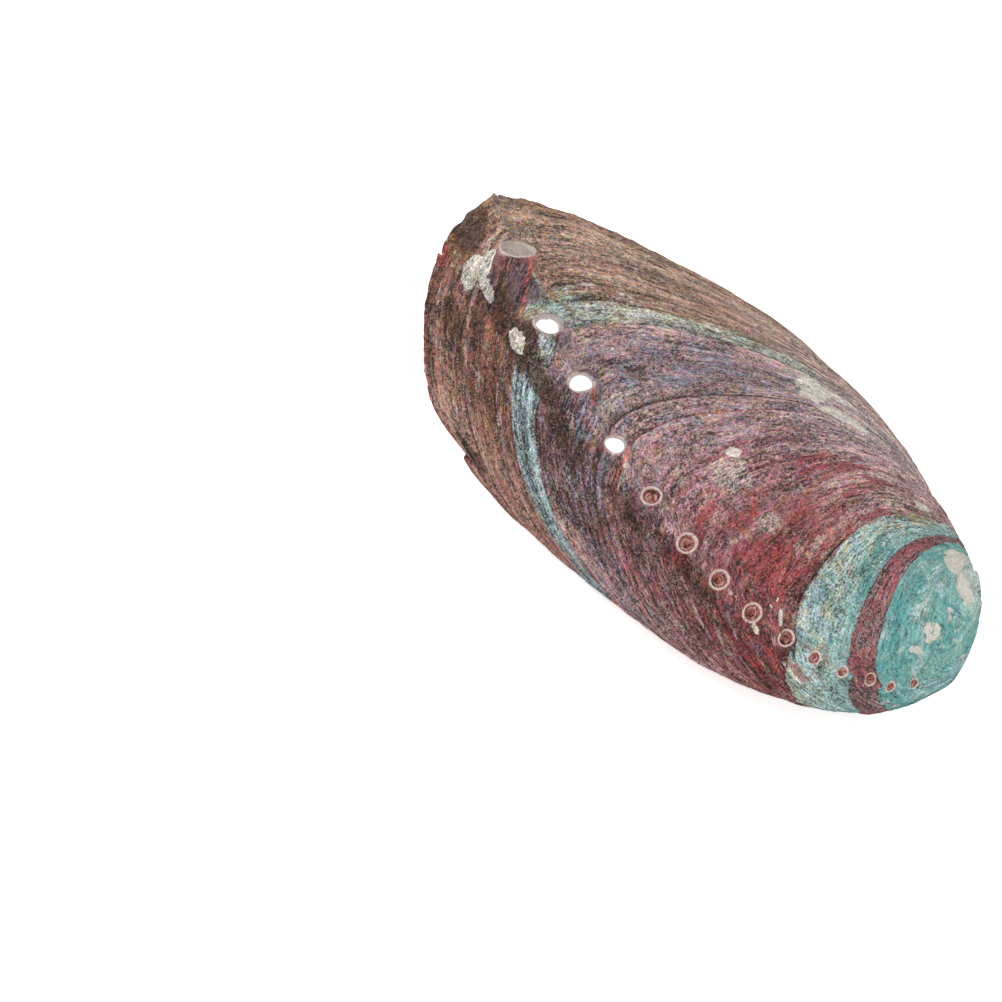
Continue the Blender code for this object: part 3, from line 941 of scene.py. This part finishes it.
def turquoiseBand(skin, late):
    # The turquoise band: a clean back edge with a thin dark line, a front edge that breaks up
    age, side = skin.age, skin.side
    low, high = crustLook["band"]
    nearRow = times(between(side, 0.26, 0.42), between(side, 0.52, 0.49))
    spread = plus(age, times(nearRow, crustLook["bandSpread"]))
    inBand = times(calc("GREATER_THAN", spread, low), calc("LESS_THAN", age, high))
    whole = plus(between(spread, low - 0.01, high - 0.01), swing(skin.blots, 2.4))
    whole = plus(whole, swing(skin.grain, 1.1))
    sound = times(inBand, between(side, -0.08, 0.03))
    late = coat(late, times(crisp(whole, 0.36, 0.48), sound), 0.85, "bandColour")
    tealPart = times(nearRow, crisp(plus(skin.blots, swing(skin.grain, 0.5)), 0.40, 0.50))
    late = coat(late, times(inBand, tealPart), 0.70, "rowTeal")
    film = grownNoise(skin, (0.36, 0.16, 0.16), (4.0, 4.0, 7.0), detail=6.0, rough=0.7, twist=0.5)
    late = coat(late, times(crisp(film, 0.51, 0.57), inBand), 0.62, "olive")
    onWall = times(inBand, between(side, 0.53, 0.56))
    late = coat(late, onWall, 0.75, "wallTeal")
    return coat(late, times(crisp(skin.lineWide, 0.56, 0.60), onWall), 0.70, "grime")


def growthLines(skin, late):
    cleanAge = plus(skin.bandAge, plus(swing(skin.blots, 0.010), swing(skin.lineFine, 0.004)))
    for name, lineAge, halfWidth, strength in crustLook["lines"]:
        off = calc("ABSOLUTE", minus(cleanAge, lineAge))
        line = times(between(off, halfWidth, 0.3 * halfWidth), crisp(skin.clouds, 0.34, 0.44))
        late = coat(late, line, strength, name)
    # The worn rim behind the row shows a pinkish red edge, partly real and partly painted glow of light
    # through the thin rim
    edge = between(plus(skin.bandAge, swing(skin.blots, 0.02)), 0.022, 0.006)
    edge = times(edge, between(skin.side, 0.56, 0.82))
    return coat(late, times(edge, crisp(skin.grain, 0.40, 0.52)), 0.60, "stain")


def maroonBand(skin, colour):
    first, last = crustLook["maroon"]
    begins = between(skin.age, first - 0.004, first + 0.004)
    skin.inMaroon = times(begins, between(skin.age, last + 0.004, last - 0.004))
    colour = coat(colour, skin.inMaroon, 0.94, "maroonColour")
    spots = crisp(plus(skin.clouds, swing(skin.grain, 0.6)), 0.46, 0.56)
    return coat(colour, times(skin.inMaroon, spots), 0.65, "crimson")


# Patches with broken edges: (gauge and colour, low and high edge, strength, what breaks the edge)
stainCoats = (
    ("beige", 0.45, 0.90, 0.62, (("blots", 2.2), ("grit", 0.5))),
    ("red", 0.45, 0.85, 0.62, (("grain", 1.6), ("clouds", 2.8), ("grit", 0.8))),
    ("plum", 0.3, 0.6, 0.85, (("grain", 0.8),)),
    ("grime", 0.40, 0.65, 0.85, (("grain", 1.0), ("blots", 1.6))),
    ("stain", 0.40, 0.90, 0.75, (("grain", 1.2),)),
    ("white", 0.50, 0.66, 0.88, (("grain", 0.9), ("blots", 1.5))),
)


def stained(skin, colour):
    for name, low, high, strength, breaks in stainCoats:
        edge = gauge(skin.tree, name)
        for pattern, amount in breaks:
            edge = plus(edge, swing(getattr(skin, pattern), amount))
        patch = crisp(edge, low, high)
        colour = coat(colour, patch, strength, name)
    # The last patches, the white ones, stand a little proud
    skin.crusted = patch
    return colour


def strokes(skin, factors, shift):
    # Fine etched strokes, thin where a pattern crosses its middle value
    pattern = grownNoise(skin, factors, shift, detail=4.0, rough=0.66, twist=0.3)
    return between(calc("ABSOLUTE", minus(pattern, 0.5)), 0.030, 0.006)


def toned(skin, colour):
    # Light and dark grit, lines, pores and strokes, and the painted shading of the relief, weaker on the
    # smooth turquoise
    tone = times(swing(crisp(skin.lineFine), 0.75), skin.lined)
    amounts = {"grit": 0.62, "dashes": 0.50, "grain": 0.34, "lineWide": 0.34, "clouds": 0.36}
    for pattern, amount in amounts.items():
        tone = plus(tone, swing(crisp(getattr(skin, pattern)), amount))
    tone = plus(tone, times(strokes(skin, (0.85, 0.33, 0.33), (2.0, 7.0, 7.0)), -0.50))
    tone = plus(tone, times(strokes(skin, (0.75, 0.38, 0.38), (8.0, 3.0, 4.0)), 0.50))
    pores = noise(scaled(skin.body, (1.0, 1.0, 1.0), (7.0, 3.0, 5.0)), 1.1, 2.0, 0.6)
    tone = minus(tone, times(crisp(pores, 0.62, 0.70), 0.45))
    # Painted shading of the ledges, steps, wrinkles and the hollow behind the row
    tone = plus(tone, times(gauge(skin.tree, "paintedReliefShading"), 0.4))
    calm = plus(times(skin.isTeal, -0.35), plus(times(between(skin.age, 1.60, 2.10), -0.34), 1.20))
    calm = times(calm, plus(times(skin.crusted, -0.5), 1.0))
    skin.calm = plus(calm, plus(times(skin.inMaroon, 0.6), times(skin.behind, 0.25)))
    tone = calc("MAXIMUM", plus(times(tone, skin.calm), 1.03), 0.12)
    grey = addNode(skin.tree, "ShaderNodeCombineColor", {0: tone, 1: tone, 2: tone}).outputs[0]
    colour = mixed(1.0, colour, grey, "MULTIPLY")
    tintSource = {"Vector": scaled(skin.place, (0.9, 0.5, 0.5)), "Scale": 1.0, "Detail": 3.0}
    tint = addNode(skin.tree, "ShaderNodeTexNoise", tintSource).outputs["Color"]
    tint = scaled(tint, (1.4, 1.4, 1.4), (-0.2, -0.2, -0.2))
    colour = mixed(times(skin.calm, 0.35), colour, tint, "OVERLAY")
    flecks = noise(scaled(skin.body, (1.0, 1.0, 1.0), (1.0, 9.0, 2.0)), 2.1, 2.0, 0.6)
    return coat(colour, crisp(flecks, 0.64, 0.68), 0.4, "white")


def holeRings(skin, colour):
    # Rings and floors of the holes, from how far a point lies from the nearest one in hole half sizes
    reach = None
    for i in range(holes["open"] + holes["sealed"]):
        age, seat, along, across = holeFrame(i)
        lift = 0.0
        if i < holes["open"]:
            lift = holes["tubeRise"] if i == 0 else holes["lipRise"]
        inputs = {
            "Vector": addNode(skin.tree, "ShaderNodeTexCoord").outputs["Object"],
            "Location": seat @ Vector((0.0, 0.0, lift)),
            "Rotation": seat.to_euler(),
            "Scale": (along, across, 3.0 * across),
        }
        local = addNode(skin.tree, "ShaderNodeMapping", inputs, vector_type="TEXTURE").outputs[0]
        gap = addNode(skin.tree, "ShaderNodeVectorMath", {0: local}, operation="LENGTH").outputs["Value"]
        reach = gap if reach is None else calc("MINIMUM", reach, gap)
    reach = plus(reach, plus(swing(skin.grit, 0.10), swing(skin.grain, 0.12)))
    halo = times(between(reach, 1.10, 1.25), between(reach, 1.65, 1.30))
    colour = coat(colour, times(halo, crisp(skin.blots, 0.46, 0.56)), 0.30, "stain")
    stops = [(place, paint(*floorColour)) for place, floorColour in crustLook["pitFloor"]]
    floor = ramp(noise(skin.body, 0.6, 4.0, 0.75), stops)
    colour = mixed(between(reach, 0.92, 0.84), colour, floor)
    innerRing = times(between(reach, 0.50, 0.56), between(reach, 0.70, 0.62))
    colour = coat(colour, times(innerRing, crisp(skin.grain, 0.44, 0.54)), 0.60, "lip")
    ring = times(between(reach, 0.88, 0.94), between(reach, 1.26, 1.12))
    return coat(colour, times(ring, crisp(skin.grit, 0.34, 0.44)), 0.88, "lip")


def crustMaterial():
    mat, tree, shader = newMaterial("weatheredCrust")
    skin = crustPatterns(tree)
    late = growthLines(skin, turquoiseBand(skin, laterCrust(skin)))
    tealFrom = crustLook["tealFrom"]
    skin.isTeal = between(plus(skin.age, swing(skin.blots, 0.05)), tealFrom - 0.004, tealFrom + 0.004)
    colour = mixed(skin.isTeal, late, youngTurquoise(skin))
    colour = stained(skin, maroonBand(skin, colour))
    colour = holeRings(skin, toned(skin, colour))
    tree.links.new(colour, shader.inputs["Base Color"])

    height = plus(times(skin.dashes, 0.7), times(skin.grain, 0.8))
    height = plus(height, plus(times(skin.lineFine, 0.6), times(skin.grit, 0.7)))
    height = times(plus(height, times(skin.crusted, 0.3)), skin.calm)
    bumpInputs = {"Strength": 1.0, "Distance": crustLook["bumpDepth"], "Height": height}
    tree.links.new(addNode(tree, "ShaderNodeBump", bumpInputs).outputs[0], shader.inputs["Normal"])
    tree.links.new(plus(times(skin.grain, 0.3), 0.48), shader.inputs["Roughness"])
    shader.inputs["Specular IOR Level"].default_value = 0.35
    return mat


nacreLook = {
    "play": (
        (0.38, (196, 214, 206)), (0.48, (222, 216, 206)), (0.54, (226, 190, 196)),
        (0.60, (176, 206, 196)), (0.66, (206, 196, 220)), (0.76, (228, 222, 212)),
    ),
    "rimRedAndGlow": (150, 62, 52),
}


def nacreMaterial():
    mat, tree, shader = newMaterial("innerNacre")
    swirl = noise(scaled(growthPlace(tree), (0.05, 0.025, 0.025)), detail=4.0, twist=1.5)
    ripple = noise(bodyPlace(tree), 0.12, 4.0, 0.6, 1.2)
    stops = [(place, paint(*colour)) for place, colour in nacreLook["play"]]
    colour = ramp(plus(times(swirl, 0.6), times(ripple, 0.6)), stops)
    # A red edge along the rim, partly the shell's own and partly painted glow of light through the thin rim
    edge = between(plus(gauge(tree, "bandAge"), times(ripple, 0.01)), 0.022, 0.008)
    colour = mixed(edge, colour, paint(*nacreLook["rimRedAndGlow"]))
    tree.links.new(colour, shader.inputs["Base Color"])
    shader.inputs["Metallic"].default_value = 0.25
    tree.links.new(plus(times(ripple, 0.25), 0.12), shader.inputs["Roughness"])
    bump = addNode(tree, "ShaderNodeBump", {"Strength": 0.5, "Distance": 0.6 * mm, "Height": ripple})
    tree.links.new(bump.outputs[0], shader.inputs["Normal"])
    shader.inputs["Coat Weight"].default_value = 0.5
    shader.inputs["Coat Roughness"].default_value = 0.15
    return mat


def holeWallMaterial():
    mat, tree, shader = newMaterial("holeWall")
    body = bodyPlace(tree)
    # Thin layers of shell, seen edge on, lie level round the wall of a hole
    layers = noise(scaled(body, (0.12, 0.12, 2.2)), detail=3.0, rough=0.7)
    grain = noise(body, 1.4, 3.0, 0.6)
    stops = [(0.36, paint(160, 144, 138)), (0.48, paint(202, 190, 184)), (0.60, paint(222, 214, 206))]
    colour = ramp(plus(times(layers, 0.7), times(grain, 0.3)), stops)
    tree.links.new(colour, shader.inputs["Base Color"])
    tree.links.new(plus(times(grain, 0.3), 0.3), shader.inputs["Roughness"])
    bump = addNode(tree, "ShaderNodeBump", {"Strength": 0.4, "Distance": 0.2 * mm, "Height": grain})
    tree.links.new(bump.outputs[0], shader.inputs["Normal"])
    return mat


def buildShell():
    mesh = buildMesh()
    shell = bpy.data.objects.new("shellCrust", mesh)
    bpy.context.scene.collection.objects.link(shell)
    for make in (crustMaterial, nacreMaterial, holeWallMaterial):
        mesh.materials.append(make())
    print("materials made")
    triangles = sum(len(face.vertices) - 2 for face in mesh.polygons)
    thin = shell.modifiers.new("thin", "DECIMATE")
    thin.ratio = surface["triangles"] / triangles
    applied(shell, "shell thinned")
    cutHoles(shell)
    shell.data.shade_smooth()
    shell.data.set_sharp_from_angle(angle=math.radians(50.0))
    return shell


studio = {
    "floorColour": (0.93, 0.93, 0.92, 1.0),
    "floorGlow": 0.62,
    "floorHalf": 3.0,
    # Soft lights: (name, power, size, where it stands)
    "lights": (("keyLight", 7.0, 0.8, (-0.35, 0.75, 0.95)), ("fillLight", 3.0, 1.0, (-0.9, -0.5, 0.6))),
    "worldStrength": 0.55,
}


def buildFloor():
    half = studio["floorHalf"]
    corners = [(-half, -half, 0.0), (half, -half, 0.0), (half, half, 0.0), (-half, half, 0.0)]
    mesh = bpy.data.meshes.new("studioFloor")
    mesh.from_pydata(corners, [], [(0, 1, 2, 3)])
    floor = bpy.data.objects.new("studioFloor", mesh)
    bpy.context.scene.collection.objects.link(floor)
    mat, tree, shader = newMaterial("paleFloor")
    shader.inputs["Base Color"].default_value = studio["floorColour"]
    shader.inputs["Roughness"].default_value = 0.9
    shader.inputs["Specular IOR Level"].default_value = 0.1
    shader.inputs["Emission Color"].default_value = (1.0, 1.0, 1.0, 1.0)
    shader.inputs["Emission Strength"].default_value = studio["floorGlow"]
    mesh.materials.append(mat)


def buildLights():
    for name, power, size, spot in studio["lights"]:
        light = bpy.data.lights.new(name, "AREA")
        light.energy = power
        light.size = size
        lamp = bpy.data.objects.new(name, light)
        lamp.location = spot
        lamp.rotation_euler = (-Vector(spot)).to_track_quat("-Z", "Y").to_euler()
        bpy.context.scene.collection.objects.link(lamp)
    world = bpy.data.worlds.new("studioWorld")
    world.use_nodes = True
    background = world.node_tree.nodes["Background"]
    background.inputs["Color"].default_value = (1.0, 1.0, 1.0, 1.0)
    background.inputs["Strength"].default_value = studio["worldStrength"]
    bpy.context.scene.world = world
    bpy.context.scene.view_settings.view_transform = "Standard"


view = {
    "position": (-482.63 * mm, -44.39 * mm, 415.42 * mm),
    "turnDegrees": (38.552, -27.920, -51.389),
    "lens": 108.445,
    "sensor": 36.0,
}


def buildCamera():
    lens = bpy.data.cameras.new("photoCamera")
    lens.lens = view["lens"]
    lens.sensor_width = view["sensor"]
    lens.clip_start = 0.01
    lens.clip_end = 20.0
    camera = bpy.data.objects.new("photoCamera", lens)
    camera.location = view["position"]
    camera.rotation_euler = [math.radians(turn) for turn in view["turnDegrees"]]
    bpy.context.scene.collection.objects.link(camera)
    bpy.context.scene.camera = camera


shell = buildShell()
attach(shell, "root")
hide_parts("abalone_shell")
print("shell built")
buildFloor()
buildLights()
buildCamera()
print("studio and camera set")
